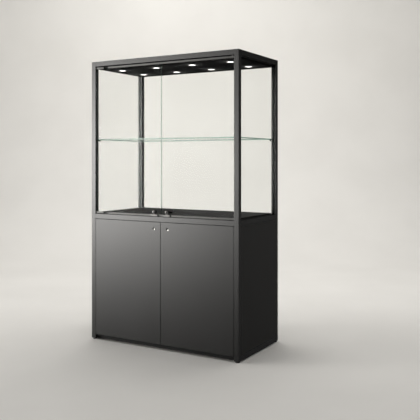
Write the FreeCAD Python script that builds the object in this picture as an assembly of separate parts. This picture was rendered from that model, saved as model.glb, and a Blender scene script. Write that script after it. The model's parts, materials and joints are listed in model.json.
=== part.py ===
import FreeCAD, Part
import os

# Free-standing glazed display cabinet: a framed glass vitrine with two
# frameless hinged glass doors over a closed cupboard with two hinged leaves.
# Units are mm.  +Z is up, the front faces -Y, left is -X, and the origin is
# on the floor at the centre of the bounding box.

V = FreeCAD.Vector
X, Y, Z = V(1, 0, 0), V(0, 1, 0), V(0, 0, 1)
SIDES = ((-1, "left"), (1, "right"))
ENDS = ((-1, "front"), (1, "back"))
CORNERS = [(side, end) for side in (-1, 1) for end in (-1, 1)]

# ---------------------------------------------------------- main dimensions
WIDTH = 1200.0
DEPTH = 600.0
HEIGHT = 2000.0
TUBE = 35.0               # square section of posts and rails
WALL = 2.0                # wall of the square tube
TUBE_ROUND = 1.2          # rounding of the long edges
LIFT = 8.0                # frame clearance above the floor
LOCK_OUT = 4.5            # glass-door lock rings stand this far out of the frame
Y_SHIFT = LOCK_OUT / 2    # centres the bounding box on the origin

HALF_X, HALF_Y = WIDTH / 2, DEPTH / 2
IN_X, IN_Y = HALF_X - TUBE, HALF_Y - TUBE              # inner faces of the posts
POST_X, POST_Y = HALF_X - TUBE / 2, HALF_Y - TUBE / 2  # post centres

BASE_TOP = LIFT + TUBE
MID_Z = 870.0             # underside of the middle rail
MID_TOP = MID_Z + TUBE
TOP_Z = HEIGHT - TUBE     # underside of the top rail
RAIL_HEIGHTS = ((LIFT, BASE_TOP), (MID_Z, MID_TOP), (TOP_Z, HEIGHT))
BASE_Y = -HALF_Y + 26.0   # front face of the set-back front base rail

FIT = 0.05                # clearance between mating pieces
OVER = 1.0                # overshoot of cutting tools
GLASS = 6.0               # wall panes and door panes
SCREW_R = 2.0

# positions shared between sections
SHELF_Z = 1435.0          # underside of the glass shelf
BRACKET_SCREW_X, BRACKET_SCREW_Z = IN_X + 5.0, SHELF_Z - 5.0
BOARD_T = 18.0            # cupboard boards, cupboard doors and deck
CEILING_Z = 1948.0        # underside of the ceiling tray
TRAY_T = 1.5
BUSH_R = 6.0              # glass-door pivot bushes
DOOR_Y = -HALF_Y + 10.0   # front face of the glass-door panes
DOOR_PIVOT_X, DOOR_PIVOT_Y = IN_X - 15.0, DOOR_Y + GLASS / 2
LEAF_PIVOT_X, LEAF_PIVOT_Y = IN_X - 14.5, -HALF_Y + 6.5
LEAF_PIN_R = 3.0

# supply cable
CABLE_R = 3.0
CABLE_HOLE_R = CABLE_R + 1.5
CABLE_TOP_Y, CABLE_TOP_Z = 240.0, 1982.0
CABLE_OUT_X, CABLE_OUT_Z = -520.0, 100.0    # exit through the back panel
CABLE_SIDE_Y = IN_Y + 8.0                   # exit from the post


# ------------------------------------------------------------------ helpers
def box(x0, x1, y0, y1, z0, z1):
    """Box between two limits on each axis, given in either order."""
    x0, x1 = min(x0, x1), max(x0, x1)
    y0, y1 = min(y0, y1), max(y0, y1)
    z0, z1 = min(z0, z1), max(z0, z1)
    return Part.makeBox(x1 - x0, y1 - y0, z1 - z0, V(x0, y0, z0))


def rod(radius, start, stop):
    start, stop = V(*start), V(*stop)
    run = stop.sub(start)
    return Part.makeCylinder(radius, run.Length, start, run)


def rod_y(radius, x, z, y0, y1):
    return rod(radius, (x, y0, z), (x, y1, z))


def rod_z(radius, x, y, z0, z1):
    return rod(radius, (x, y, z0), (x, y, z1))


def fuse(items):
    solid = items[0]
    for item in items[1:]:
        solid = solid.fuse(item)
    return solid.removeSplitter()


def cut(solid, tools):
    for tool in tools:
        solid = solid.cut(tool)
    return solid


def edges_along(shape, axis):
    found = []
    for edge in shape.Edges:
        if len(edge.Vertexes) != 2:
            continue
        run = edge.Vertexes[1].Point.sub(edge.Vertexes[0].Point)
        run.normalize()
        if abs(abs(run.dot(axis)) - 1.0) < 1e-6:
            found.append(edge)
    return found


def front_rounded(solid, y, radius):
    """Round the four edges that border the front face at depth y."""
    found = []
    for edge in solid.Edges:
        points = [v.Point for v in edge.Vertexes]
        if len(points) == 2 and all(abs(p.y - y) < 1e-6 for p in points):
            found.append(edge)
    return solid.makeFillet(radius, found)


def square_tube(x0, x1, y0, y1, z0, z1, axis):
    """Square tube with slightly rounded long edges, open at both ends."""
    solid = box(x0, x1, y0, y1, z0, z1)
    solid = solid.makeFillet(TUBE_ROUND, edges_along(solid, axis))
    in_x, in_y, in_z = [-OVER if along else WALL for along in (axis.x, axis.y, axis.z)]
    return solid.cut(box(x0 + in_x, x1 - in_x, y0 + in_y, y1 - in_y,
                         z0 + in_z, z1 - in_z))


os.makedirs("parts", exist_ok=True)


def save(name, items):
    """Write one node: a single solid or a group of separate solids."""
    if not isinstance(items, (list, tuple)):
        items = [items]
    solids = []
    for item in items:
        solids.extend(item.Solids)
    shape = solids[0] if len(solids) == 1 else Part.makeCompound(solids)
    shape = shape.copy()
    shape.translate(V(0, Y_SHIFT, 0))
    shape.exportStep("parts/%s.step" % name)


# ----------------------------------------------------------- posts and feet
CAP_Z = HEIGHT - 2.0      # top of the post tube, underside of the cap lid
SKIRT_DEPTH = 12.0
SKIRT_IN, SKIRT_HOLE_IN = 2.1, 4.0    # skirt faces, from the post's outside
FOOT_STEM_R = 4.0


def post_span(side, end):
    return (*sorted((side * IN_X, side * HALF_X)), *sorted((end * IN_Y, end * HALF_Y)))


def post_box(side, end, inset, z0, z1):
    x0, x1, y0, y1 = post_span(side, end)
    return box(x0 + inset, x1 - inset, y0 + inset, y1 - inset, z0, z1)


def post(side, end):
    solid = square_tube(*post_span(side, end), LIFT, CAP_Z, Z)
    tools = [rod_y(SCREW_R + FIT, side * BRACKET_SCREW_X, BRACKET_SCREW_Z,
                   end * (IN_Y - OVER), end * (IN_Y + WALL + OVER))]
    if side < 0 and end > 0:
        # cable passages: in from the side top rail, out into the cupboard
        tools.append(rod_y(CABLE_R + 2.0, -POST_X, CABLE_TOP_Z,
                           IN_Y - OVER, IN_Y + WALL + OVER))
        tools.append(rod(CABLE_HOLE_R, (-IN_X + OVER, CABLE_SIDE_Y, CABLE_OUT_Z),
                         (-IN_X - WALL - OVER, CABLE_SIDE_Y, CABLE_OUT_Z)))
    return cut(solid, tools)


def post_cap(side, end):
    lid = post_box(side, end, 0, CAP_Z, HEIGHT)
    lid = lid.makeFillet(TUBE_ROUND, edges_along(lid, Z))
    skirt = post_box(side, end, SKIRT_IN, CAP_Z - SKIRT_DEPTH, CAP_Z)
    skirt = skirt.cut(post_box(side, end, SKIRT_HOLE_IN,
                               CAP_Z - SKIRT_DEPTH - OVER, CAP_Z))
    return fuse([lid, skirt])


def foot_socket(side, end):
    block = post_box(side, end, WALL + FIT, LIFT + 1.0, LIFT + 25.0)
    return block.cut(rod_z(FOOT_STEM_R + FIT, side * POST_X, end * POST_Y, 0, 60))


def foot(side, end):
    """Disc with a tapered pad on it and a stem up into the socket."""
    x, y = side * POST_X, end * POST_Y
    pad = Part.makeCone(16.0, 14.0, 5.0, V(x, y, 1.0))
    return fuse([rod_z(16.0, x, y, 0, 1.0), pad, rod_z(FOOT_STEM_R, x, y, 6.0, 46.0)])


for end, end_name in ENDS:
    for side, side_name in SIDES:
        save("post_%s_%s" % (end_name, side_name), post(side, end))
        save("foot_%s_%s" % (end_name, side_name), foot(side, end))
save("post_caps", [post_cap(*corner) for corner in CORNERS])
save("foot_sockets", [foot_socket(*corner) for corner in CORNERS])


# -------------------------------------------------------------------- rails
def front_rail(z0, z1):
    return square_tube(-IN_X, IN_X, -HALF_Y, -IN_Y, z0, z1, X)


def rail_top_front():
    return cut(front_rail(TOP_Z, HEIGHT),
               [rod_z(BUSH_R + FIT, side * DOOR_PIVOT_X, DOOR_PIVOT_Y,
                      TOP_Z - OVER, TOP_Z + WALL + OVER) for side in (-1, 1)])


def rail_mid_front():
    """Front middle rail, bored above for the bushes and below for the pins."""
    tools = []
    for side in (-1, 1):
        tools.append(rod_z(BUSH_R + FIT, side * DOOR_PIVOT_X, DOOR_PIVOT_Y,
                           MID_TOP + OVER, MID_TOP - WALL - OVER))
        tools.append(rod_z(LEAF_PIN_R + FIT, side * LEAF_PIVOT_X, LEAF_PIVOT_Y,
                           MID_Z - OVER, MID_Z + WALL + OVER))
    return cut(front_rail(MID_Z, MID_TOP), tools)


def rails_side():
    rails = []
    for side in (-1, 1):
        x0, x1 = sorted((side * IN_X, side * HALF_X))
        for z0, z1 in RAIL_HEIGHTS:
            rail = square_tube(x0, x1, -IN_Y, IN_Y, z0, z1, Y)
            if side < 0 and z0 == TOP_Z:
                # cable passage
                rail = rail.cut(rod(CABLE_HOLE_R, (-IN_X + OVER, CABLE_TOP_Y, CABLE_TOP_Z),
                                    (-IN_X - WALL - OVER, CABLE_TOP_Y, CABLE_TOP_Z)))
            rails.append(rail)
    return rails


save("rail_top_front", rail_top_front())
save("rail_mid_front", rail_mid_front())
save("rail_base_front",
     square_tube(-IN_X, IN_X, BASE_Y, BASE_Y + TUBE, LIFT, BASE_TOP, X))
save("rails_rear", [square_tube(-IN_X, IN_X, IN_Y, HALF_Y, z0, z1, X)
                    for z0, z1 in RAIL_HEIGHTS])
save("rails_side", rails_side())

# ------------------------------------------------------------- wall glazing
GASKET = 10.0             # width of the glazing section across the pane
LIP = 4.0                 # height of the glazing section
PANE_INSET = 2.0          # pane edge from the edge of the opening


def glazing(centre, half_width, normal):
    """Gasket ring and pane filling one opening of the vitrine."""
    def slab(half_thickness, inset):
        across = (centre - half_thickness, centre + half_thickness)
        along = (-half_width + inset, half_width - inset)
        spans = across + along if normal.x else along + across
        return box(*spans, MID_TOP + inset, TOP_Z - inset)

    pane = slab(GLASS / 2, PANE_INSET)
    ring = slab(GASKET / 2, 0).cut(slab(GASKET / 2 + OVER, LIP)).cut(pane)
    return ring, pane


gaskets = []
for name, centre, half_width, normal in (("left", -POST_X, IN_Y, X),
                                         ("right", POST_X, IN_Y, X),
                                         ("back", POST_Y, IN_X, Y)):
    gasket, pane = glazing(centre, half_width, normal)
    gaskets.append(gasket)
    save("pane_" + name, pane)
save("glazing_gaskets", gaskets)

# ------------------------------------------------- glass shelf and brackets
SHELF_T = 8.0
BRACKET_T = 10.0
BRACKET_DEPTH = 13.0
BRACKET_OUT_X = IN_X + 10.0
UPSTAND = 6.0
SEAT_Y = IN_Y - 10.0      # seat of the screw head in the bracket


def glass_shelf():
    shelf = box(-IN_X + 2, IN_X - 2, -IN_Y + 3, IN_Y - 3, SHELF_Z, SHELF_Z + SHELF_T)
    shelf = shelf.makeFillet(2.0, edges_along(shelf, Z))
    return shelf.makeChamfer(0.8, [e for e in shelf.Edges
                                   if abs(e.BoundBox.ZLength) < 1e-6])


def shelf_bracket(side, end):
    y0, y1 = end * (IN_Y - BRACKET_DEPTH), end * IN_Y
    seat = box(side * (IN_X - 8), side * BRACKET_OUT_X, y0, y1,
               SHELF_Z - BRACKET_T, SHELF_Z)
    # outer upstand that keeps the shelf from sliding sideways
    upstand = box(side * (IN_X - 1), side * BRACKET_OUT_X, y0, y1,
                  SHELF_Z - BRACKET_T, SHELF_Z + UPSTAND)
    x = side * BRACKET_SCREW_X
    return cut(fuse([seat, upstand]), [
        rod_y(SCREW_R + FIT, x, BRACKET_SCREW_Z, end * (IN_Y - 20), end * (IN_Y + 5)),
        rod_y(4.2, x, BRACKET_SCREW_Z, end * (IN_Y - BRACKET_DEPTH - OVER), end * SEAT_Y)])


save("glass_shelf", glass_shelf())
save("shelf_brackets", [shelf_bracket(*corner) for corner in CORNERS])

# --------------------------------------------------------- deck and ledges
DECK_TOP = MID_TOP + 11.0
DECK_Z = DECK_TOP - BOARD_T
LEDGE_T, LEDGE_DROP, LEDGE_WIDTH = 3.0, 18.0, 20.0    # angle section
LEDGE_HALF_X, LEDGE_HALF_Y = 530.0, 235.0             # half lengths


def deck_panel():
    deck = box(-IN_X + 1, IN_X - 1, -IN_Y + 1, IN_Y - 1, DECK_Z, DECK_TOP)
    return deck.makeFillet(1.0, [e for e in deck.Edges
                                 if abs(e.BoundBox.ZMin - DECK_TOP) < 1e-6
                                 and e.BoundBox.ZLength < 1e-6])


def deck_ledges():
    """Angles under the deck: front, back, left, right."""
    flanges = ((LEDGE_T, LEDGE_DROP), (LEDGE_WIDTH, LEDGE_T))    # reach, drop
    ledges = []
    for end in (-1, 1):
        ledges.append(fuse([box(-LEDGE_HALF_X, LEDGE_HALF_X, end * IN_Y,
                                end * (IN_Y - reach), DECK_Z - drop, DECK_Z)
                            for reach, drop in flanges]))
    for side in (-1, 1):
        ledges.append(fuse([box(side * IN_X, side * (IN_X - reach), -LEDGE_HALF_Y,
                                LEDGE_HALF_Y, DECK_Z - drop, DECK_Z)
                            for reach, drop in flanges]))
    return ledges


save("deck_panel", deck_panel())
save("deck_ledges", deck_ledges())

# ---------------------------------------------------- ceiling tray and roof
TRAY_TOP = 1994.0
TRAY_FLOOR = CEILING_Z + TRAY_T
TRAY_FLANGE = 18.0        # width of the flange round the open top
ROOF_T = 3.0
ROOF_TOP = TRAY_TOP + ROOF_T
ROOF_SCREWS = ([(x, y) for y in (-IN_Y + 9, IN_Y - 9) for x in (-520, 0, 520)]
               + [(x, 0.0) for x in (-IN_X + 9, IN_X - 9)])
LAMP_X = (-450.0, -150.0, 150.0, 450.0)
LAMP_Y = (-133.0, 133.0)
LAMPS = [(x, y) for x in LAMP_X for y in LAMP_Y]


def ceiling_tray():
    tray = box(-IN_X, IN_X, -IN_Y, IN_Y, CEILING_Z, TRAY_TOP)
    tools = [box(-IN_X + TRAY_T, IN_X - TRAY_T, -IN_Y + TRAY_T, IN_Y - TRAY_T,
                 TRAY_FLOOR, TRAY_TOP - TRAY_T),
             box(-IN_X + TRAY_FLANGE, IN_X - TRAY_FLANGE,
                 -IN_Y + TRAY_FLANGE, IN_Y - TRAY_FLANGE, TRAY_TOP - 3, TRAY_TOP + OVER)]
    tools += [rod_z(30.0, x, y, CEILING_Z - OVER, TRAY_FLOOR + OVER) for x, y in LAMPS]
    tools += [rod_z(SCREW_R + FIT, x, y, TRAY_TOP - 4, TRAY_TOP + OVER)
              for x, y in ROOF_SCREWS]
    tools.append(rod(CABLE_HOLE_R, (-IN_X - OVER, CABLE_TOP_Y, CABLE_TOP_Z),
                     (-IN_X + TRAY_T + OVER, CABLE_TOP_Y, CABLE_TOP_Z)))
    return cut(tray, tools)


def roof_panel():
    roof = box(-IN_X + 1, IN_X - 1, -IN_Y + 1, IN_Y - 1, TRAY_TOP, ROOF_TOP)
    return cut(roof, [rod_z(SCREW_R + 0.1, x, y, TRAY_TOP - OVER, ROOF_TOP + OVER)
                      for x, y in ROOF_SCREWS])


def pan_screw(seat, direction, length):
    """M4 pan-head screw: head base at seat, shank along the unit direction."""
    head_t = 2.0
    head = Part.makeCylinder(3.8, head_t, seat, direction * -1.0)
    shank = Part.makeCylinder(SCREW_R, length, seat, direction)
    drive = Part.makeCylinder(1.3, 1.2, seat - direction * head_t, direction)
    return head.fuse(shank).cut(drive).removeSplitter()


def pan_screws():
    """Screws of the shelf brackets, then of the roof panel."""
    screws = [pan_screw(V(side * BRACKET_SCREW_X, end * SEAT_Y, BRACKET_SCREW_Z),
                        V(0, end, 0), 19) for side, end in CORNERS]
    return screws + [pan_screw(V(x, y, ROOF_TOP), V(0, 0, -1), 12)
                     for x, y in ROOF_SCREWS]


save("ceiling_tray", ceiling_tray())
save("roof_panel", roof_panel())
save("pan_screws", pan_screws())

# --------------------------------------------------------- lights and cable
LENS_R = 28.0
HOUSING_H = 26.0
DRIVER_H = 24.0
DRIVER_HALF_X = 85.0
LOOM_Z = CEILING_Z + 34.0
LOOM_T = 2.0
LOOM_HALF = 2.0           # half the width of a loom strip


def downlight_housing(x, y):
    """Bezel under the ceiling and a hollow can above it."""
    housing = fuse([rod_z(34.0, x, y, CEILING_Z - 2.0, CEILING_Z),
                    rod_z(29.5, x, y, CEILING_Z, CEILING_Z + HOUSING_H)])
    return cut(housing, [rod_z(LENS_R + FIT, x, y, CEILING_Z - 3, CEILING_Z + 3),
                         rod_z(24.0, x, y, CEILING_Z + 2, CEILING_Z + 22)])


def led_driver():
    driver = box(-DRIVER_HALF_X, DRIVER_HALF_X, -24, 24, TRAY_FLOOR, TRAY_FLOOR + DRIVER_H)
    return driver.makeFillet(2.0, edges_along(driver, Z))


def lamp_loom():
    """Flat low-voltage loom from the driver to the lamps."""
    def strip(x0, x1, y0, y1, z0, z1):
        return box(x0 - LOOM_HALF, x1 + LOOM_HALF, y0 - LOOM_HALF, y1 + LOOM_HALF, z0, z1)

    top = LOOM_Z + LOOM_T
    middle = LOOM_Z + LOOM_T / 2
    loom = [strip(LAMP_X[0], LAMP_X[-1], 0, 0, LOOM_Z, top),
            strip(0, 0, 0, 0, TRAY_FLOOR + DRIVER_H, middle)]
    for x in LAMP_X:
        loom.append(strip(x, x, LAMP_Y[0], LAMP_Y[1], LOOM_Z, top))
        for y in LAMP_Y:
            loom.append(strip(x, x, y, y, CEILING_Z + HOUSING_H, middle))
    return fuse(loom)


def supply_cable():
    """Mains cable: driver, side top rail, back left post, cupboard, back panel."""
    z = TRAY_FLOOR + DRIVER_H / 2
    points = [(-DRIVER_HALF_X, 0, z), (-300, 0, z), (-300, CABLE_TOP_Y, z),
              (-500, CABLE_TOP_Y, z), (-500, CABLE_TOP_Y, CABLE_TOP_Z),
              (-POST_X, CABLE_TOP_Y, CABLE_TOP_Z),
              (-POST_X, POST_Y, CABLE_TOP_Z),
              (-POST_X, POST_Y, CABLE_OUT_Z + 30),
              (-POST_X, CABLE_SIDE_Y, CABLE_OUT_Z),
              (CABLE_OUT_X, CABLE_SIDE_Y, CABLE_OUT_Z),
              (CABLE_OUT_X, HALF_Y - 1.0, CABLE_OUT_Z)]
    run = [rod(CABLE_R, a, b) for a, b in zip(points[:-1], points[1:])]
    run += [Part.makeSphere(CABLE_R, V(*point)) for point in points[1:-1]]
    return fuse(run)


def cable_grommet():
    inside = HALF_Y - BOARD_T
    grommet = fuse([rod_y(8.0 - FIT, CABLE_OUT_X, CABLE_OUT_Z, inside, HALF_Y),
                    rod_y(11.0, CABLE_OUT_X, CABLE_OUT_Z, inside - 2.0, inside)])
    return grommet.cut(rod_y(CABLE_R + FIT, CABLE_OUT_X, CABLE_OUT_Z,
                             inside - 5, HALF_Y + OVER))


save("downlight_housings", [downlight_housing(x, y) for x, y in LAMPS])
save("downlight_lenses", [rod_z(LENS_R, x, y, CEILING_Z - 1.6, CEILING_Z + 3)
                          for x, y in LAMPS])
save("led_driver", led_driver())
save("lamp_loom", lamp_loom())
save("supply_cable", supply_cable())
save("cable_grommet", cable_grommet())

# ---------------------------------------------------------- cupboard boards
PANEL_GAP = 0.5
PANEL_Z0, PANEL_Z1 = BASE_TOP + PANEL_GAP, MID_Z - PANEL_GAP
INNER_SHELF_Z = 450.0
PEG_R = 2.5
PEG_Z = INNER_SHELF_Z - PEG_R
PEG_Y = 220.0


def side_panel(side):
    inside = HALF_X - BOARD_T
    panel = box(side * inside, side * HALF_X, -IN_Y + PANEL_GAP, IN_Y - PANEL_GAP,
                PANEL_Z0, PANEL_Z1)
    return cut(panel, [rod(PEG_R, (side * (inside - OVER), y, PEG_Z),
                           (side * (inside + 10), y, PEG_Z)) for y in (-PEG_Y, PEG_Y)])


def back_panel():
    panel = box(-IN_X + PANEL_GAP, IN_X - PANEL_GAP, HALF_Y - BOARD_T, HALF_Y,
                PANEL_Z0, PANEL_Z1)
    return panel.cut(rod_y(8.0, CABLE_OUT_X, CABLE_OUT_Z,
                           HALF_Y - BOARD_T - OVER, HALF_Y + OVER))


save("side_panels", [side_panel(side) for side in (-1, 1)])
save("back_panel", back_panel())
save("base_panel", box(-IN_X + 1, IN_X - 1, -HALF_Y + 25, IN_Y - 1,
                       BASE_TOP, BASE_TOP + 16))
save("inner_shelf", box(-580, 580, -250, IN_Y - 3, INNER_SHELF_Z, INNER_SHELF_Z + BOARD_T))
save("shelf_pegs", [rod(PEG_R, (side * 568, y, PEG_Z), (side * 591.5, y, PEG_Z))
                    for side in (-1, 1) for y in (-PEG_Y, PEG_Y)])

# ------------------------------------------------------------------- pivots
LEAF_EDGE = IN_X - 2.0    # outer edge of the cupboard doors
DOOR_PIN_R = 4.0


def cupboard_pivots():
    """On each side a bracket with the lower pin, and the upper pin."""
    plate_t, plate_top = 3.0, 35.0
    inner, collar_top = IN_X - 29, 36.9
    pivots = []
    for side in (-1, 1):
        x, y = side * LEAF_PIVOT_X, LEAF_PIVOT_Y
        pivots.append(fuse([
            box(side * inner, side * LEAF_EDGE, BASE_Y - plate_t, BASE_Y, 14, plate_top),
            box(side * inner, side * LEAF_EDGE, -HALF_Y + 1, BASE_Y,
                plate_top - plate_t, plate_top),
            rod_z(5.0, x, y, plate_top, collar_top),
            rod_z(LEAF_PIN_R, x, y, collar_top, 47)]))
        pivots.append(rod_z(LEAF_PIN_R, x, y, 856, MID_Z + 5))
    return pivots


def pivot_bushes():
    """Flanged glass-door bushes in the top and middle front rails."""
    flange_r, flange_t, depth = 8.0, 1.5, 9.0
    bushes = []
    for side in (-1, 1):
        x, y = side * DOOR_PIVOT_X, DOOR_PIVOT_Y
        top = fuse([rod_z(flange_r, x, y, TOP_Z - flange_t, TOP_Z),
                    rod_z(BUSH_R, x, y, TOP_Z, TOP_Z + depth)])
        bushes.append(top.cut(rod_z(DOOR_PIN_R + FIT, x, y, TOP_Z - 5, TOP_Z + 12)))
        low = fuse([rod_z(flange_r, x, y, MID_TOP, MID_TOP + flange_t),
                    rod_z(BUSH_R, x, y, MID_TOP - depth, MID_TOP)])
        bushes.append(low.cut(rod_z(DOOR_PIN_R + FIT, x, y, MID_TOP - 12, MID_TOP + 5)))
    return bushes


save("cupboard_pivots", cupboard_pivots())
save("pivot_bushes", pivot_bushes())

# -------------------------------------------------------------- glass doors
SEAM = 1.5                # half the centre gap of both pairs of doors
DOOR_EDGE = IN_X - 2.5    # outer edge of the door panes
DOOR_BACK = DOOR_Y + GLASS
PANE_Z = (915.0, 1954.0)
LOW_RAIL_Z, HIGH_RAIL_Z = (907.0, 921.0), (1945.5, 1958.5)
LOW_CLAMP_Z, HIGH_CLAMP_Z = (909.5, 920.5), (1946.5, 1957.5)
CLAMP_INNER = {-1: 496.0, 1: 521.0}   # inner end of the clamps, by side
RAIL_OUTER = {-1: 458.0, 1: 519.0}    # outer end of the door rails, by side
DOOR_RAIL_T = 14.0
DOOR_RAIL_Y0 = DOOR_PIVOT_Y - DOOR_RAIL_T / 2
DOOR_RAIL_Y1 = DOOR_PIVOT_Y + DOOR_RAIL_T / 2
LOCK_X, LOCK_Z = 52.0, 936.0          # lock axis


def pane_blank(side):
    return box(side * SEAM, side * DOOR_EDGE, DOOR_Y, DOOR_BACK, *PANE_Z)


def door_pane(side):
    pane = pane_blank(side)
    pane = pane.makeFillet(1.0, edges_along(pane, Z))
    return pane.cut(rod_y(9.6, side * LOCK_X, LOCK_Z, DOOR_Y - OVER, DOOR_BACK + OVER))


def door_rail(side, z_span):
    rail = box(side * SEAM, side * RAIL_OUTER[side], DOOR_RAIL_Y0, DOOR_RAIL_Y1, *z_span)
    rail = rail.makeFillet(1.0, edges_along(rail, X))
    return rail.cut(pane_blank(side))


def clamp_block(side, z_span):
    block = box(side * CLAMP_INNER[side], side * DOOR_EDGE,
                DOOR_RAIL_Y0, DOOR_RAIL_Y1, *z_span)
    block = block.makeFillet(1.0, edges_along(block, Z))
    return block.cut(pane_blank(side))


def pivot_clamps(side):
    """Bottom clamp with a collar and pin, top clamp with a pin."""
    x, y = side * DOOR_PIVOT_X, DOOR_PIVOT_Y
    collar_z = MID_TOP + 1.6
    return [fuse([clamp_block(side, LOW_CLAMP_Z),
                  rod_z(6.0, x, y, collar_z, LOW_CLAMP_Z[0]),
                  rod_z(DOOR_PIN_R, x, y, MID_TOP - 8.5, collar_z)]),
            fuse([clamp_block(side, HIGH_CLAMP_Z),
                  rod_z(DOOR_PIN_R, x, y, HIGH_CLAMP_Z[1], TOP_Z + 8)])]


for side, side_name in SIDES:
    save("door_pane_" + side_name, door_pane(side))
    save("door_rails_" + side_name,
         [door_rail(side, z_span) for z_span in (LOW_RAIL_Z, HIGH_RAIL_Z)])
    save("pivot_clamps_" + side_name, pivot_clamps(side))

# --------------------------------------- glass-door locks, through the panes
CAM_W = 12.0              # cams of both kinds of lock
CAM_BORE_R = 4.0
CAM_SCREW_R = 5.5         # head that holds the cam on the plug
LOCK_FRONT = -HALF_Y - LOCK_OUT
RING_R = 13.0
RING_RISE = 1.3           # rise of the ring's conical face
KEY_R = 6.0               # key face
CORE_R = 4.8              # plug behind the key face
CASE_X = (23.0, 77.0)     # lock case, in front of the bottom door rail
CASE_Z = (907.5, 921.0)
CASE_FRONT = -HALF_Y - 3.0
CASE_ROUND = 1.5
NECK_HALF = 9.0           # half the width of the neck between case and ring
STEP_Y = -295.0           # where the bore narrows
BARREL_R = 9.5
LOCK_REAR = DOOR_BACK + 3.4               # rear of the barrel and its nut
LOCK_CAM_Y = (LOCK_REAR + 3.4, LOCK_REAR + 5.4)
STRIKE_Y = (LOCK_REAR + 1.0, LOCK_REAR + 3.0)


def lock_cam(side, x, z, y0, y1, length):
    """Flat cam with a round hub, level and pointing outwards."""
    cam = fuse([rod_y(8.0, x, z, y0, y1),
                box(x, x + side * length, y0, y1, z - CAM_W / 2, z + CAM_W / 2)])
    return cam.cut(rod_y(CAM_BORE_R, x, z, y0 - OVER, y1 + OVER))


def glass_lock_case(side):
    """Ring and case in front of the pane, with the barrel through it."""
    x = side * LOCK_X
    ring = fuse([rod_y(RING_R, x, LOCK_Z, LOCK_FRONT + RING_RISE, DOOR_Y),
                 Part.makeCone(KEY_R + 0.6, RING_R - 0.4, RING_RISE,
                               V(x, LOCK_FRONT, LOCK_Z), Y)])
    case_back = DOOR_RAIL_Y0 - FIT
    case = box(side * CASE_X[0], side * CASE_X[1], CASE_FRONT, case_back, *CASE_Z)
    case = front_rounded(case, CASE_FRONT, CASE_ROUND)
    neck = box(x - NECK_HALF, x + NECK_HALF, CASE_FRONT + CASE_ROUND, DOOR_Y,
               CASE_Z[1] - 4.0, LOCK_Z)
    case = fuse([ring, case, neck])
    # room for the bottom door rail
    case = case.cut(box(x - 40, x + 40, case_back, DOOR_Y + OVER,
                        900, LOW_RAIL_Z[1] + 0.1))
    case = fuse([case, rod_y(BARREL_R, x, LOCK_Z, DOOR_Y, LOCK_REAR)])
    return cut(case, [rod_y(KEY_R + FIT, x, LOCK_Z, LOCK_FRONT - OVER, STEP_Y),
                      rod_y(CORE_R + FIT, x, LOCK_Z, STEP_Y - OVER, LOCK_REAR + OVER)])


def glass_lock_nut(side):
    x = side * LOCK_X
    nut = rod_y(10.5, x, LOCK_Z, DOOR_BACK, LOCK_REAR)
    return nut.cut(rod_y(BARREL_R + FIT, x, LOCK_Z, DOOR_Y, LOCK_REAR + OVER))


def glass_lock_plug(side):
    """Slotted plug; it turns together with the cam."""
    x = side * LOCK_X
    cam_y0, cam_y1 = LOCK_CAM_Y
    shoulder = STEP_Y - 0.2
    plug = fuse([rod_y(KEY_R, x, LOCK_Z, LOCK_FRONT + 0.9, shoulder),
                 rod_y(CORE_R, x, LOCK_Z, shoulder, cam_y0),
                 rod_y(CAM_BORE_R, x, LOCK_Z, cam_y0, cam_y1),
                 rod_y(CAM_SCREW_R, x, LOCK_Z, cam_y1, cam_y1 + 2.7)])
    return plug.cut(box(x - 0.9, x + 0.9, LOCK_FRONT, LOCK_FRONT + 6,
                        LOCK_Z - 4.2, LOCK_Z + 4.2))


def door_stop():
    """Stop bar behind the cupboard doors, and two strikes on the middle rail."""
    stops = [box(-480, 480, -281, -278, 848, MID_Z)]
    for side in (-1, 1):
        stops.append(box(side * (LOCK_X - 15), side * (LOCK_X + 15), *STRIKE_Y,
                         MID_TOP, 913.0))
    return stops


save("door_stop", door_stop())
# the cam rests level and turns down behind the strike to lock
for side, side_name in SIDES:
    save("glass_lock_case_" + side_name, [glass_lock_case(side), glass_lock_nut(side)])
    save("glass_lock_plug_" + side_name, glass_lock_plug(side))
    save("glass_lock_cam_" + side_name,
         lock_cam(side, side * LOCK_X, LOCK_Z, *LOCK_CAM_Y, 29.5))

# ------------------------------------------ cupboard doors and their cam locks
LEAF_Z0, LEAF_Z1 = 37.0, 868.0
LEAF_BACK = -HALF_Y + BOARD_T
CAM_LOCK_X, CAM_LOCK_Z = 55.0, 821.5
CAM_LOCK_FRONT = -HALF_Y - 2.5
CAM_LOCK_REAR = LEAF_BACK + 3.0
CAM_BARREL_R = 8.0
CAM_PLUG_R = 5.0
DISH_R, DISH_DEPTH = 9.4, 1.0         # dish in the lock face
CAM_Y = (CAM_LOCK_REAR + 1.6, CAM_LOCK_REAR + 3.6)


def cupboard_door(side):
    leaf = box(side * SEAM, side * LEAF_EDGE, -HALF_Y, LEAF_BACK, LEAF_Z0, LEAF_Z1)
    leaf = front_rounded(leaf, -HALF_Y, 1.0)
    x, y = side * LEAF_PIVOT_X, LEAF_PIVOT_Y
    return cut(leaf, [
        rod_y(CAM_BARREL_R + 0.1, side * CAM_LOCK_X, CAM_LOCK_Z,
              -HALF_Y - OVER, LEAF_BACK + OVER),
        rod_z(LEAF_PIN_R + FIT, x, y, LEAF_Z0 - OVER, LEAF_Z0 + 11.5),
        rod_z(LEAF_PIN_R + FIT, x, y, LEAF_Z1 - 13, LEAF_Z1 + OVER)])


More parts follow.
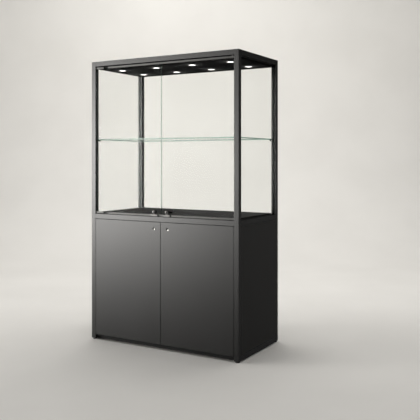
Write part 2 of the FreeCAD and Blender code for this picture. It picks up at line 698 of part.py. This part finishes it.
def cam_lock_body(side):
    """Chamfered, dished face and a bored barrel through the door."""
    x, z = side * CAM_LOCK_X, CAM_LOCK_Z
    face = rod_y(10.0, x, z, CAM_LOCK_FRONT, -HALF_Y)
    face = face.makeChamfer(0.4, [e for e in face.Edges
                                  if abs(e.BoundBox.YMax - CAM_LOCK_FRONT) < 1e-6
                                  and e.BoundBox.YLength < 1e-6])
    face = face.cut(Part.makeCone(DISH_R, CAM_PLUG_R, DISH_DEPTH,
                                  V(x, CAM_LOCK_FRONT, z), Y))
    body = fuse([face, rod_y(CAM_BARREL_R, x, z, -HALF_Y, CAM_LOCK_REAR)])
    return body.cut(rod_y(CAM_PLUG_R + FIT, x, z, -HALF_Y - 5, -HALF_Y + 30))


def cam_lock_plug(side):
    x, z = side * CAM_LOCK_X, CAM_LOCK_Z
    shoulder = CAM_LOCK_REAR + 0.2
    plug = fuse([rod_y(CAM_PLUG_R, x, z, CAM_LOCK_FRONT + 1.8, shoulder),
                 rod_y(CAM_BORE_R, x, z, shoulder, CAM_LOCK_REAR + 4.0),
                 rod_y(CAM_SCREW_R, x, z, CAM_Y[1], CAM_LOCK_REAR + 6.6)])
    return plug.cut(box(x - 0.8, x + 0.8, -HALF_Y - 4, -HALF_Y + 4, z - 3.6, z + 3.6))


for side, side_name in SIDES:
    save("cupboard_door_" + side_name, cupboard_door(side))
    save("cam_lock_body_" + side_name, cam_lock_body(side))
    save("cam_lock_plug_" + side_name, cam_lock_plug(side))
    save("cam_" + side_name,
         lock_cam(side, side * CAM_LOCK_X, CAM_LOCK_Z, *CAM_Y, 45.0))
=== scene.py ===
import json
import math

import bpy
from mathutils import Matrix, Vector


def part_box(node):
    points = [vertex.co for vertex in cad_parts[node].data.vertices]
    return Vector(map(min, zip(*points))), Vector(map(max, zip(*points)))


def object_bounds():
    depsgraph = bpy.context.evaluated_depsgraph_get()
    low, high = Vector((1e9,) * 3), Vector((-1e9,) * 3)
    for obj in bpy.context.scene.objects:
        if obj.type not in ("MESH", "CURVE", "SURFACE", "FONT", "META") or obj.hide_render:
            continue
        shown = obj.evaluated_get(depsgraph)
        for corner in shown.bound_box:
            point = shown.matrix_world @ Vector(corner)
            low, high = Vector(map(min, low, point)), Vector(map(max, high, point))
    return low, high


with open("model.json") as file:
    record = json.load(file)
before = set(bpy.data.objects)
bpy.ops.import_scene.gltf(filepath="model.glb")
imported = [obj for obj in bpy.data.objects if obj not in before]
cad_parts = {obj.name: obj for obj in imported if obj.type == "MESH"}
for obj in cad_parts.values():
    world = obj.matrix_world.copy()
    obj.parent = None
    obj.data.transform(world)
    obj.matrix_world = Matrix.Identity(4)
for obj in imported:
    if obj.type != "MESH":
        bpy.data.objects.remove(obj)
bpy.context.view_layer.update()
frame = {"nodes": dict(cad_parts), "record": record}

scene = bpy.context.scene
nodes = frame["nodes"]
record = frame["record"]

# --------------------------------------------------------------- node helpers


class Tree:
    """Small wrapper that makes shader nodes and links them."""

    def __init__(self, tree):
        self.t = tree
        tree.nodes.clear()

    def n(self, kind, **props):
        node = self.t.nodes.new(kind)
        for key, value in props.items():
            setattr(node, key, value)
        return node

    def link(self, a, b):
        self.t.links.new(a, b)

    def feed(self, socket, value):
        if isinstance(value, bpy.types.NodeSocket):
            self.t.links.new(value, socket)
        else:
            socket.default_value = value

    def math(self, op, a, b=None, c=None, clamp=False):
        node = self.n("ShaderNodeMath", operation=op, use_clamp=clamp)
        for i, v in enumerate((a, b, c)):
            if v is not None:
                self.feed(node.inputs[i], v)
        return node.outputs[0]

    def noise(self, vector, scale, detail=2.0, rough=0.5):
        node = self.n("ShaderNodeTexNoise")
        self.link(vector, node.inputs["Vector"])
        node.inputs["Scale"].default_value = scale
        node.inputs["Detail"].default_value = detail
        node.inputs["Roughness"].default_value = rough
        return node.outputs["Fac"]

    def ramp(self, fac, lo, hi, out_lo, out_hi, smooth=True):
        node = self.n("ShaderNodeMapRange")
        node.interpolation_type = "SMOOTHSTEP" if smooth else "LINEAR"
        self.feed(node.inputs["Value"], fac)
        node.inputs["From Min"].default_value = lo
        node.inputs["From Max"].default_value = hi
        node.inputs["To Min"].default_value = out_lo
        node.inputs["To Max"].default_value = out_hi
        return node.outputs["Result"]

    def mix(self, fac, a, b):
        node = self.n("ShaderNodeMix", data_type="RGBA")
        self.feed(node.inputs["Factor"], fac)
        self.feed(node.inputs["A"], a)
        self.feed(node.inputs["B"], b)
        return node.outputs["Result"]


def rgba(c, a=1.0):
    return (c[0], c[1], c[2], a)


def scaled(c, k):
    return tuple(min(1.0, v * k) for v in c)


def new_material(name):
    m = bpy.data.materials.new(name)
    m.use_nodes = True
    return m, Tree(m.node_tree)


def coords(t):
    return t.n("ShaderNodeTexCoord").outputs["Object"]


def edge_mask(t, radius):
    """1 on sharp outer edges, 0 on flats, from the bevel normal."""
    bev = t.n("ShaderNodeBevel", samples=8)
    bev.inputs["Radius"].default_value = radius
    geo = t.n("ShaderNodeNewGeometry")
    dot = t.n("ShaderNodeVectorMath", operation="DOT_PRODUCT")
    t.link(bev.outputs["Normal"], dot.inputs[0])
    t.link(geo.outputs["Normal"], dot.inputs[1])
    return t.ramp(dot.outputs["Value"], 0.995, 0.93, 0.0, 1.0)


def coated(name, base, rough=0.3, metallic=0.0, spec=0.5, grain=1400.0,
           grain_depth=0.00008, edge=1.25, edge_r=0.0012, patch=0.015,
           coat=0.0, brushed=None):
    """Painted, laminated, plastic, rubber or metal surface.

    Fine grain goes into the bump, slow patches into roughness and tone, and
    outer edges are slightly worn."""
    m, t = new_material(name)
    out = t.n("ShaderNodeOutputMaterial")
    bsdf = t.n("ShaderNodeBsdfPrincipled")
    t.link(bsdf.outputs[0], out.inputs["Surface"])
    co = coords(t)
    slow = t.noise(co, 3.1, 3.0, 0.55)
    mid = t.noise(co, 34.0, 4.0, 0.6)
    if brushed is not None:
        mapping = t.n("ShaderNodeMapping")
        mapping.inputs["Scale"].default_value = brushed
        t.link(co, mapping.inputs["Vector"])
        fine = t.noise(mapping.outputs["Vector"], grain, 3.0, 0.6)
    else:
        fine = t.noise(co, grain, 2.0, 0.5)
    tone = t.mix(t.ramp(slow, 0.3, 0.7, 0.0, 1.0),
                 rgba(scaled(base, 1.0 - patch)), rgba(scaled(base, 1.0 + patch)))
    speck = t.mix(t.ramp(mid, 0.62, 0.80, 0.0, 0.05), tone,
                  rgba(scaled(base, 1.2)))
    worn = t.mix(t.math("MULTIPLY", edge_mask(t, edge_r), 0.3), speck,
                 rgba(scaled(base, edge)))
    t.link(worn, bsdf.inputs["Base Color"])
    rvar = t.math("ADD", t.ramp(slow, 0.25, 0.75, -0.008, 0.008),
                  t.ramp(mid, 0.3, 0.7, -0.004, 0.004))
    t.link(t.math("ADD", rvar, rough, clamp=True), bsdf.inputs["Roughness"])
    bsdf.inputs["Metallic"].default_value = metallic
    bsdf.inputs["Specular IOR Level"].default_value = spec
    bsdf.inputs["Coat Weight"].default_value = coat
    bsdf.inputs["Coat Roughness"].default_value = max(0.05, rough - 0.15)
    bump = t.n("ShaderNodeBump")
    bump.inputs["Strength"].default_value = 0.35
    bump.inputs["Distance"].default_value = grain_depth
    t.link(fine, bump.inputs["Height"])
    t.link(bump.outputs["Normal"], bsdf.inputs["Normal"])
    return m


def glass(name, thin_axis, body=(0.985, 0.988, 0.985),
          edge_tint=(0.11, 0.15, 0.13), reflect=0.03, edge_mix=0.45, haze_amount=0.0):
    """Clear sheet glass: see-through faces, green polished edges."""
    m, t = new_material(name)
    out = t.n("ShaderNodeOutputMaterial")
    tc = t.n("ShaderNodeTexCoord")
    sep = t.n("ShaderNodeSeparateXYZ")
    t.link(tc.outputs["Normal"], sep.inputs[0])
    facing = t.math("ABSOLUTE", sep.outputs[thin_axis])
    is_face = t.math("GREATER_THAN", facing, 0.85)
    geo = t.n("ShaderNodeNewGeometry")
    ior = t.math("MULTIPLY_ADD", geo.outputs["Backfacing"], 1 / 1.5 - 1.5, 1.5)
    fres = t.n("ShaderNodeFresnel")
    t.link(ior, fres.inputs["IOR"])
    co = tc.outputs["Object"]
    smudge = t.ramp(t.noise(co, 5.5, 5.0, 0.65), 0.52, 0.78, haze_amount,
                    haze_amount + 0.003)
    ripple = t.n("ShaderNodeBump")
    ripple.inputs["Strength"].default_value = 0.05
    ripple.inputs["Distance"].default_value = 0.0005
    t.link(t.noise(co, 2.2, 1.0, 0.4), ripple.inputs["Height"])
    clear = t.n("ShaderNodeBsdfTransparent")
    clear.inputs["Color"].default_value = rgba(body)
    gloss = t.n("ShaderNodeBsdfAnisotropic")
    gloss.inputs["Roughness"].default_value = 0.02
    gloss.inputs["Color"].default_value = (1, 1, 1, 1)
    t.link(ripple.outputs["Normal"], gloss.inputs["Normal"])
    haze = t.n("ShaderNodeBsdfDiffuse")
    haze.inputs["Color"].default_value = (0.8, 0.8, 0.78, 1)
    body_mix = t.n("ShaderNodeMixShader")
    t.link(t.math("MULTIPLY", fres.outputs[0], reflect), body_mix.inputs[0])
    t.link(clear.outputs[0], body_mix.inputs[1])
    t.link(gloss.outputs[0], body_mix.inputs[2])
    face = t.n("ShaderNodeMixShader")
    t.link(smudge, face.inputs[0])
    t.link(body_mix.outputs[0], face.inputs[1])
    t.link(haze.outputs[0], face.inputs[2])
    edge_clear = t.n("ShaderNodeBsdfTransparent")
    edge_clear.inputs["Color"].default_value = rgba(scaled(edge_tint, 3.2))
    edge_solid = t.n("ShaderNodeBsdfPrincipled")
    tone = t.mix(t.ramp(t.noise(co, 60.0, 3.0, 0.6), 0.35, 0.65, 0.0, 1.0),
                 rgba(edge_tint), rgba(scaled(edge_tint, 1.35)))
    t.link(tone, edge_solid.inputs["Base Color"])
    edge_solid.inputs["Roughness"].default_value = 0.18
    edge = t.n("ShaderNodeMixShader")
    edge.inputs[0].default_value = edge_mix
    t.link(edge_clear.outputs[0], edge.inputs[1])
    t.link(edge_solid.outputs[0], edge.inputs[2])
    whole = t.n("ShaderNodeMixShader")
    t.link(is_face, whole.inputs[0])
    t.link(edge.outputs[0], whole.inputs[1])
    t.link(face.outputs[0], whole.inputs[2])
    t.link(whole.outputs[0], out.inputs["Surface"])
    return m


lamp_lo, lamp_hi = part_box("downlight_lenses")
LAMP_R = 0.028
LAMP_X0, LAMP_STEP_X = lamp_lo[0] + LAMP_R, 0.300
LAMP_Y0, LAMP_STEP_Y = lamp_lo[1] + LAMP_R, 0.266


def lamp_radius(t, co):
    """Distance in the plan from the nearest lamp centre."""
    sep = t.n("ShaderNodeSeparateXYZ")
    t.link(co, sep.inputs[0])

    def local(axis, first, step):
        moved = t.math("SUBTRACT", sep.outputs[axis], first - 10.5 * step)
        return t.math("SUBTRACT", t.math("FLOORED_MODULO", moved, step), step / 2)

    x = local(0, LAMP_X0, LAMP_STEP_X)
    y = local(1, LAMP_Y0, LAMP_STEP_Y)
    return t.math("SQRT", t.math("ADD", t.math("MULTIPLY", x, x),
                                 t.math("MULTIPLY", y, y)))


def spill(material, reach, strength):
    """Faint lamp light on the sheet round each lamp."""
    t = Tree.__new__(Tree)
    t.t = material.node_tree
    bsdf = next(n for n in t.t.nodes if n.type == "BSDF_PRINCIPLED")
    r = lamp_radius(t, coords(t))
    fall = t.math("EXPONENT", t.math("DIVIDE", t.math("SUBTRACT", 0.034, r), reach))
    bsdf.inputs["Emission Color"].default_value = (1.0, 0.985, 0.95, 1)
    t.link(t.math("MULTIPLY", t.math("MINIMUM", fall, 1.0), strength),
           bsdf.inputs["Emission Strength"])


def lamp_glow(name, colour, strength):
    """Opal diffuser: bright in the middle, with a faint textured rim."""
    m, t = new_material(name)
    out = t.n("ShaderNodeOutputMaterial")
    bsdf = t.n("ShaderNodeBsdfPrincipled")
    co = coords(t)
    cells = t.n("ShaderNodeTexVoronoi")
    cells.inputs["Scale"].default_value = 260.0
    t.link(co, cells.inputs["Vector"])
    glow = t.ramp(cells.outputs["Distance"], 0.0, 0.7, strength * 1.06,
                  strength * 0.92)
    glow = t.math("MULTIPLY", glow, t.ramp(lamp_radius(t, co), 0.010, 0.028,
                                           1.0, 0.10))
    bsdf.inputs["Base Color"].default_value = (0.9, 0.9, 0.88, 1)
    bsdf.inputs["Roughness"].default_value = 0.4
    bsdf.inputs["Emission Color"].default_value = rgba(colour)
    t.link(glow, bsdf.inputs["Emission Strength"])
    bump = t.n("ShaderNodeBump")
    bump.inputs["Strength"].default_value = 0.3
    bump.inputs["Distance"].default_value = 0.0004
    t.link(cells.outputs["Distance"], bump.inputs["Height"])
    t.link(bump.outputs["Normal"], bsdf.inputs["Normal"])
    t.link(bsdf.outputs[0], out.inputs["Surface"])
    return m


# ------------------------------------------------------------------ materials
GREY = (0.014, 0.0137, 0.0131)
BLACK = (0.006, 0.006, 0.006)

frame_paint = coated("frame_paint", GREY, rough=0.25, spec=0.5)
door_board = coated("door_board", GREY, rough=0.26, spec=0.5, grain=700.0,
                    grain_depth=0.00012)
side_board = coated("side_board", scaled(GREY, 1.35), rough=0.34, spec=0.4,
                    grain=700.0, grain_depth=0.00012)
frame_dark = coated("frame_dark", BLACK, rough=0.45, spec=0.15)
tray_black = coated("tray_black", (0.007, 0.0067, 0.0062), rough=0.5, spec=0.12)
deck_black = coated("deck_black", (0.016, 0.014, 0.013), rough=0.34, spec=0.45,
                    grain=500.0, grain_depth=0.00015)
inner_black = coated("inner_black", (0.02, 0.018, 0.017), rough=0.45,
                     grain=500.0, grain_depth=0.00015)
satin_metal = coated("satin_metal", (0.055, 0.055, 0.053), rough=0.33,
                     metallic=0.75, grain=900.0, brushed=(0.02, 1.0, 1.0))
clamp_metal = coated("clamp_metal", (0.05, 0.05, 0.048), rough=0.3,
                     metallic=0.8, grain=900.0, brushed=(0.02, 1.0, 1.0))
nickel = coated("nickel", (0.25, 0.247, 0.238), rough=0.19, metallic=1.0,
                grain=900.0)
lock_metal = coated("lock_metal", (0.078, 0.077, 0.0745), rough=0.30,
                    metallic=1.0, grain=900.0, edge=1.6)
plug_metal = coated("plug_metal", (0.012, 0.0118, 0.011), rough=0.32,
                    metallic=0.9, grain=900.0)
key_black = coated("key_black", (0.006, 0.006, 0.006), rough=0.5, spec=0.15,
                   grain=900.0)
steel = coated("steel", (0.42, 0.42, 0.41), rough=0.3, metallic=1.0,
               grain=900.0)
seal_grey = coated("seal_grey", GREY, rough=0.3, spec=0.45, grain=500.0)
rubber = coated("rubber", (0.014, 0.014, 0.014), rough=0.6, spec=0.3,
                grain=500.0, grain_depth=0.0002)
plastic = coated("black_plastic", (0.018, 0.018, 0.018), rough=0.45, spec=0.4)
driver_white = coated("driver_white", (0.62, 0.61, 0.58), rough=0.45, spec=0.4)
foot_metal = coated("foot_metal", (0.03, 0.03, 0.03), rough=0.4, metallic=0.4)
glass_x = glass("glass_side_panes", 0)
glass_y = glass("glass_front_and_back", 1, edge_tint=(0.24, 0.29, 0.265))
glass_z = glass("glass_shelf", 2, edge_tint=(0.22, 0.33, 0.28), edge_mix=0.7,
                haze_amount=0.10)
lens = lamp_glow("lamp_lens", (1.0, 0.985, 0.95), 3.4)
spill(tray_black, 0.020, 0.07)

finish = {}


def give(material, *names):
    for name in names:
        finish[name] = material


for s in ("left", "right"):
    give(frame_paint, "post_front_" + s, "post_back_" + s)
    give(door_board, "cupboard_door_" + s)
    give(glass_y, "door_pane_" + s)
    give(glass_x, "pane_" + s)
    give(satin_metal, "door_rails_" + s)
    give(clamp_metal, "pivot_clamps_" + s)
    give(nickel, "cam_lock_body_" + s)
    give(lock_metal, "glass_lock_case_" + s)
    give(plug_metal, "glass_lock_plug_" + s)
    give(key_black, "cam_lock_plug_" + s)
    give(steel, "cam_" + s)
    give(plug_metal, "glass_lock_cam_" + s)
    give(foot_metal, "foot_front_" + s, "foot_back_" + s)
give(frame_paint, "post_caps", "rail_top_front", "rail_mid_front", "rails_rear",
     "rails_side", "roof_panel")
give(side_board, "side_panels", "back_panel")
give(frame_dark, "rail_base_front", "deck_ledges", "door_stop",
     "shelf_brackets", "cupboard_pivots", "downlight_housings")
give(tray_black, "ceiling_tray")
give(deck_black, "deck_panel")
give(inner_black, "base_panel", "inner_shelf")
give(glass_y, "pane_back")
give(glass_z, "glass_shelf")
give(lens, "downlight_lenses")
give(steel, "pan_screws", "shelf_pegs")
give(seal_grey, "glazing_gaskets")
give(rubber, "supply_cable", "cable_grommet")
give(plastic, "foot_sockets", "pivot_bushes", "lamp_loom")
give(driver_white, "led_driver")

left_over = sorted(set(nodes) - set(finish))
if left_over:
    raise RuntimeError("no finish for " + ", ".join(left_over))
for name, material in finish.items():
    o = nodes[name]
    if not o.material_slots:
        o.data.materials.append(material)
    for ms in o.material_slots:
        ms.material = material

# ---------------------------------------------------------------------- floor
lo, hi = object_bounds()
mid = (lo + hi) / 2

FRONT_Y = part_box("post_front_left")[0][1]        # front plane of the frame
CAM_XY = Vector((2.5873, FRONT_Y - 3.7951, 0.0))
YAW = 0.525
VIEW = Vector((-math.sin(YAW), math.cos(YAW), 0.0))
ACROSS = Vector((math.cos(YAW), math.sin(YAW), 0.0))


def sweep(name, width, front, back, height, radius, steps=16):
    """Seamless floor that curves up behind the object, square to the camera."""
    profile = [(-front, 0.0), (back - radius, 0.0)]
    for i in range(1, steps + 1):
        a = math.pi / 2 * i / steps
        profile.append((back - radius + radius * math.sin(a),
                        radius - radius * math.cos(a)))
    profile.append((back, height))
    verts, faces = [], []
    for d, z in profile:
        for sgn in (-1, 1):
            p = VIEW * d + ACROSS * (sgn * width / 2)
            verts.append((p.x, p.y, z))
    for i in range(len(profile) - 1):
        a = 2 * i
        faces.append((a, a + 1, a + 3, a + 2))
    mesh = bpy.data.meshes.new(name)
    mesh.from_pydata(verts, [], faces)
    for p in mesh.polygons:
        p.use_smooth = True
    o = bpy.data.objects.new(name, mesh)
    scene.collection.objects.link(o)
    return o


floor = sweep("studio_floor", 60.0, 30.0, 6.0, 14.0, 3.0)
fm, ft = new_material("studio_floor")
fout = ft.n("ShaderNodeOutputMaterial")
fb = ft.n("ShaderNodeBsdfPrincipled")
fco = coords(ft)
ft.link(ft.mix(ft.ramp(ft.noise(fco, 1.2, 3.0, 0.5), 0.3, 0.7, 0.0, 1.0),
               (0.80, 0.785, 0.755, 1), (0.83, 0.815, 0.785, 1)),
        fb.inputs["Base Color"])
fb.inputs["Roughness"].default_value = 0.6

# Outside the part the main view shows, the camera sees the floor fade into the
# surroundings, so that it has no edge from any side.
SURROUND = (0.74, 0.725, 0.695, 1)
fgeo = ft.n("ShaderNodeNewGeometry")
fsep = ft.n("ShaderNodeSeparateXYZ")
ft.link(fgeo.outputs["Position"], fsep.inputs[0])


def run_along(axis):
    return ft.math("ADD", ft.math("MULTIPLY", fsep.outputs[0], axis.x),
                   ft.math("MULTIPLY", fsep.outputs[1], axis.y))


aside = ft.ramp(ft.math("ABSOLUTE", run_along(ACROSS)), 3.45, 6.0, 0.0, 1.0)
ahead = ft.ramp(run_along(VIEW * -1.0), 1.6, 4.5, 0.0, 1.0)
fpath = ft.n("ShaderNodeLightPath")
fglow = ft.n("ShaderNodeEmission")
fglow.inputs["Color"].default_value = SURROUND
fmix = ft.n("ShaderNodeMixShader")
ft.link(ft.math("MULTIPLY", ft.math("MAXIMUM", aside, ahead),
                fpath.outputs["Is Camera Ray"]), fmix.inputs[0])
ft.link(fb.outputs[0], fmix.inputs[1])
ft.link(fglow.outputs[0], fmix.inputs[2])
ft.link(fmix.outputs[0], fout.inputs["Surface"])
floor.data.materials.append(fm)
floor.visible_glossy = False

# ---------------------------------------------------------------------- world
world = bpy.data.worlds.new("studio")
scene.world = world
world.use_nodes = True
wt = Tree(world.node_tree)
wout = wt.n("ShaderNodeOutputWorld")
wco = wt.n("ShaderNodeTexCoord")
wsep = wt.n("ShaderNodeSeparateXYZ")
wt.link(wco.outputs["Generated"], wsep.inputs[0])
neg_x = wt.math("MULTIPLY", wsep.outputs[0], -1.0)
neg_y = wt.math("MULTIPLY", wsep.outputs[1], -1.0)
azim = wt.math("ARCTAN2", neg_x, neg_y)        # 0 ahead of the doors, + to the left
elev = wt.math("ARCSINE", wsep.outputs[2])


def lobe(az0, el0, saz, sup, sdown, power):
    da = wt.math("DIVIDE", wt.math("SUBTRACT", azim, math.radians(az0)),
                 math.radians(saz))
    de0 = wt.math("SUBTRACT", elev, math.radians(el0))
    up = wt.math("GREATER_THAN", de0, 0.0)
    width = wt.math("MULTIPLY_ADD", up, math.radians(sup - sdown),
                    math.radians(sdown))
    de = wt.math("DIVIDE", de0, width)
    r2 = wt.math("ADD", wt.math("MULTIPLY", da, da), wt.math("MULTIPLY", de, de))
    return wt.math("MULTIPLY", wt.math("EXPONENT", wt.math("MULTIPLY", r2, -0.5)),
                   power)


window = lobe(40.5, -0.6, 7.3, 4.9, 4.4, 19.0)
window_far = lobe(62.0, -0.3, 6.5, 4.9, 4.4, 27.0)
broad = lobe(60.0, 22.0, 36.0, 30.0, 16.0, 0.30)
side_fill = lobe(-150.0, -4.0, 26.0, 7.0, 14.0, 0.11)
spark = lobe(62.0, 15.0, 7.0, 6.0, 6.0, 9.5)
inner_fill = lobe(-138.0, 3.0, 4.5, 9.0, 9.0, 0.6)
deck_fill = lobe(168.0, 6.0, 12.0, 8.0, 6.0, 0.30)
total = 0.02
for part in (window, window_far, broad, side_fill, spark, inner_fill,
             deck_fill):
    total = wt.math("ADD", part, total)
light = wt.n("ShaderNodeBackground")
light.inputs["Color"].default_value = (1.0, 0.985, 0.955, 1)
wt.link(total, light.inputs["Strength"])
seen = wt.n("ShaderNodeBackground")
seen.inputs["Color"].default_value = SURROUND
seen.inputs["Strength"].default_value = 1.0
path = wt.n("ShaderNodeLightPath")
wmix = wt.n("ShaderNodeMixShader")
wt.link(path.outputs["Is Camera Ray"], wmix.inputs[0])
wt.link(light.outputs[0], wmix.inputs[1])
wt.link(seen.outputs[0], wmix.inputs[2])
wt.link(wmix.outputs[0], wout.inputs["Surface"])


def area(name, at, aim, size, size_y, power, colour=(1, 1, 1), glossy=True):
    data = bpy.data.lights.new(name, "AREA")
    data.shape = "RECTANGLE"
    data.size, data.size_y = size, size_y
    data.energy = power
    data.color = colour
    o = bpy.data.objects.new(name, data)
    o.location = at
    o.rotation_euler = (Vector(aim) - Vector(at)).to_track_quat("-Z", "Y").to_euler()
    o.visible_camera = False
    o.visible_glossy = glossy
    scene.collection.objects.link(o)
    return o


area("overhead", (-0.5, 1.0, 5.2), (-0.3, 1.0, 0.0), 7.0, 7.0, 265.0,
     (1.0, 0.99, 0.97), glossy=False)
area("backdrop_wash", tuple(VIEW * 1.5 + ACROSS * 0.0 + Vector((0, 0, 5.0))),
     tuple(VIEW * 6.0 + Vector((0, 0, 2.0))), 8.0, 3.0, 105.0,
     (1.0, 0.985, 0.95), glossy=False)

# --------------------------------------------------------------------- camera
cam_data = bpy.data.cameras.new("camera")
cam = bpy.data.objects.new("camera", cam_data)
scene.collection.objects.link(cam)
cam.location = (CAM_XY.x, CAM_XY.y, 1.2994)
cam.rotation_euler = (math.pi / 2, 0.0, YAW)
cam_data.sensor_width = 36.0
cam_data.lens = 57.78
cam_data.shift_y = -0.12156
# The vertical shift frames the main view.  It fades out once the camera's height
# is 2 cm or more off the main view's, so the whole cabinet stays in the picture.
curve = cam_data.driver_add("shift_y")
for mod in list(curve.modifiers):
    curve.modifiers.remove(mod)
curve.driver.type = "AVERAGE"
var = curve.driver.variables.new()
var.name = "z"
var.type = "TRANSFORMS"
var.targets[0].id = cam
var.targets[0].transform_type = "LOC_Z"
var.targets[0].transform_space = "WORLD_SPACE"
for at, value in ((-50.0, 0.0), (1.2794, 0.0), (1.2994, -0.12156),
                  (1.3194, 0.0), (50.0, 0.0)):
    key = curve.keyframe_points.insert(at, value)
    key.interpolation = "LINEAR"
cam_data.clip_start, cam_data.clip_end = 0.05, 200.0
scene.camera = cam

scene.view_settings.view_transform = "Standard"
scene.view_settings.look = "None"
scene.view_settings.exposure = 0.0
scene.view_settings.gamma = 1.0
